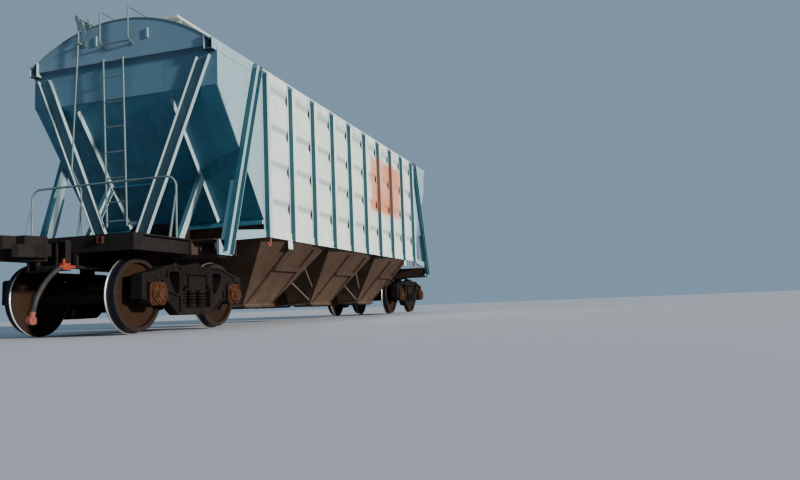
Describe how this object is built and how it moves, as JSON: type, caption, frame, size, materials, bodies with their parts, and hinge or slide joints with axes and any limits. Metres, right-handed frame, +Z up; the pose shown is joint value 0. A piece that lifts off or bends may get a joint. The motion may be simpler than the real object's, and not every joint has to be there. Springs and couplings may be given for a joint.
{
  "type": "covered hopper wagon",
  "caption": "Covered bogie hopper wagon with ribbed sides, sloping ends, arched roof with hatches, and bottom outlets.",
  "frame": {"origin": "middle of the wagon, on the plane that the wheel flanges touch, 28 mm below the rail's top", "axes": "+X along the wagon away from the picture's near end, +Y to the side that the picture doesn't show, +Z up"},
  "size_m": [14.937, 3.332, 4.727],
  "materials": {
    "body_paint": "weathered pale green-grey paint",
    "end_paint": "weathered dark teal paint",
    "roof_paint": "dusty grey-green paint",
    "bunker_paint": "brown paint under dust and rust",
    "fittings_paint": "worn grey paint",
    "frame_paint": "dark underframe paint with grime",
    "brake_paint": "dull red oxide paint",
    "hose_rubber": "matt black rubber",
    "cast_steel": "bare cast steel, brown with rust",
    "bogie_paint": "brown grime over cast steel",
    "wheel_steel": "rusty rolled steel with a bright tread"
  },
  "bodies": {
    "wagon_body": {"centre_sill": "frame_paint", "end_frame_near": "frame_paint", "end_frame_far": "frame_paint", "body_bolster_near": "frame_paint", "body_bolster_far": "frame_paint", "side_sheet_left": "body_paint", "side_sheet_right": "body_paint", "side_frame_left": "body_paint", "side_frame_right": "body_paint", "side_braces_near": "body_paint", "side_braces_far": "body_paint", "end_wall_near": "body_paint", "end_wall_far": "body_paint", "end_slope_near": "end_paint", "end_slope_far": "end_paint", "end_struts_near": "body_paint", "end_struts_far": "body_paint", "roof": "roof_paint", "roof_walkway": "roof_paint", "hatch_lock_gear": "fittings_paint", "bunker_1": "bunker_paint", "bunker_2": "bunker_paint", "bunker_3": "bunker_paint", "bunker_stays": "fittings_paint", "chord_hooks": "brake_paint", "end_ladder_near": "fittings_paint", "end_ladder_far": "fittings_paint", "end_handrail_near": "fittings_paint", "end_handrail_far": "fittings_paint", "coupler_near": "cast_steel", "coupler_far": "cast_steel", "brake_gear": "brake_paint", "brake_hose_near": "hose_rubber", "brake_hose_far": "hose_rubber", "hose_coupling_near": "brake_paint", "hose_coupling_far": "brake_paint"},
    "bogie_near": {"bogie_bolster_near": "bogie_paint", "bogie_side_near_left": "bogie_paint", "bogie_side_near_right": "bogie_paint", "bogie_springs_near": "bogie_paint", "brake_rigging_near": "bogie_paint"},
    "bogie_far": {"bogie_bolster_far": "bogie_paint", "bogie_side_far_left": "bogie_paint", "bogie_side_far_right": "bogie_paint", "bogie_springs_far": "bogie_paint", "brake_rigging_far": "bogie_paint"},
    "wheelset_1": {"wheelset_1": "wheel_steel"},
    "wheelset_2": {"wheelset_2": "wheel_steel"},
    "wheelset_3": {"wheelset_3": "wheel_steel"},
    "wheelset_4": {"wheelset_4": "wheel_steel"},
    "hatch_lid_1": {"hatch_lid_1": "roof_paint"},
    "hatch_lid_2": {"hatch_lid_2": "roof_paint"},
    "hatch_lid_3": {"hatch_lid_3": "roof_paint"},
    "hatch_lid_4": {"hatch_lid_4": "roof_paint"},
    "outlet_door_1_left": {"outlet_door_1_left": "bunker_paint"},
    "outlet_door_1_right": {"outlet_door_1_right": "bunker_paint"},
    "outlet_door_2_left": {"outlet_door_2_left": "bunker_paint"},
    "outlet_door_2_right": {"outlet_door_2_right": "bunker_paint"},
    "outlet_door_3_left": {"outlet_door_3_left": "bunker_paint"},
    "outlet_door_3_right": {"outlet_door_3_right": "bunker_paint"}
  },
  "joints": [
    {"name": "bogie_near_swivel", "type": "hinge", "parent": "wagon_body", "child": "bogie_near", "pos_m": [-5.25, 0, 0.828], "axis": [0, 0, 1], "range_deg": [-4, 4]},
    {"name": "bogie_far_swivel", "type": "hinge", "parent": "wagon_body", "child": "bogie_far", "pos_m": [5.25, 0, 0.828], "axis": [0, 0, 1], "range_deg": [-4, 4]},
    {"name": "wheelset_1_spin", "type": "hinge", "parent": "bogie_near", "child": "wheelset_1", "pos_m": [-6.175, 0, 0.503], "axis": [0, 1, 0], "continuous": true},
    {"name": "wheelset_2_spin", "type": "hinge", "parent": "bogie_near", "child": "wheelset_2", "pos_m": [-4.325, 0, 0.503], "axis": [0, 1, 0], "continuous": true},
    {"name": "wheelset_3_spin", "type": "hinge", "parent": "bogie_far", "child": "wheelset_3", "pos_m": [4.325, 0, 0.503], "axis": [0, 1, 0], "continuous": true},
    {"name": "wheelset_4_spin", "type": "hinge", "parent": "bogie_far", "child": "wheelset_4", "pos_m": [6.175, 0, 0.503], "axis": [0, 1, 0], "continuous": true},
    {"name": "hatch_lid_1_hinge", "type": "hinge", "parent": "wagon_body", "child": "hatch_lid_1", "pos_m": [-4.05, -0.4, 4.608], "axis": [1, 0, 0], "range_deg": [0, 110]},
    {"name": "hatch_lid_2_hinge", "type": "hinge", "parent": "wagon_body", "child": "hatch_lid_2", "pos_m": [-1.35, -0.4, 4.608], "axis": [1, 0, 0], "range_deg": [0, 110]},
    {"name": "hatch_lid_3_hinge", "type": "hinge", "parent": "wagon_body", "child": "hatch_lid_3", "pos_m": [1.35, -0.4, 4.608], "axis": [1, 0, 0], "range_deg": [0, 110]},
    {"name": "hatch_lid_4_hinge", "type": "hinge", "parent": "wagon_body", "child": "hatch_lid_4", "pos_m": [4.05, -0.4, 4.608], "axis": [1, 0, 0], "range_deg": [0, 110]},
    {"name": "outlet_door_1_left_hinge", "type": "hinge", "parent": "wagon_body", "child": "outlet_door_1_left", "pos_m": [-2.7, 0.69, 0.31], "axis": [1, 0, 0], "range_deg": [0, 28]},
    {"name": "outlet_door_1_right_hinge", "type": "hinge", "parent": "wagon_body", "child": "outlet_door_1_right", "pos_m": [-2.7, -0.69, 0.31], "axis": [-1, 0, 0], "range_deg": [0, 28]},
    {"name": "outlet_door_2_left_hinge", "type": "hinge", "parent": "wagon_body", "child": "outlet_door_2_left", "pos_m": [0, 0.69, 0.31], "axis": [1, 0, 0], "range_deg": [0, 28]},
    {"name": "outlet_door_2_right_hinge", "type": "hinge", "parent": "wagon_body", "child": "outlet_door_2_right", "pos_m": [0, -0.69, 0.31], "axis": [-1, 0, 0], "range_deg": [0, 28]},
    {"name": "outlet_door_3_left_hinge", "type": "hinge", "parent": "wagon_body", "child": "outlet_door_3_left", "pos_m": [2.7, 0.69, 0.31], "axis": [1, 0, 0], "range_deg": [0, 28]},
    {"name": "outlet_door_3_right_hinge", "type": "hinge", "parent": "wagon_body", "child": "outlet_door_3_right", "pos_m": [2.7, -0.69, 0.31], "axis": [-1, 0, 0], "range_deg": [0, 28]}
  ]
}
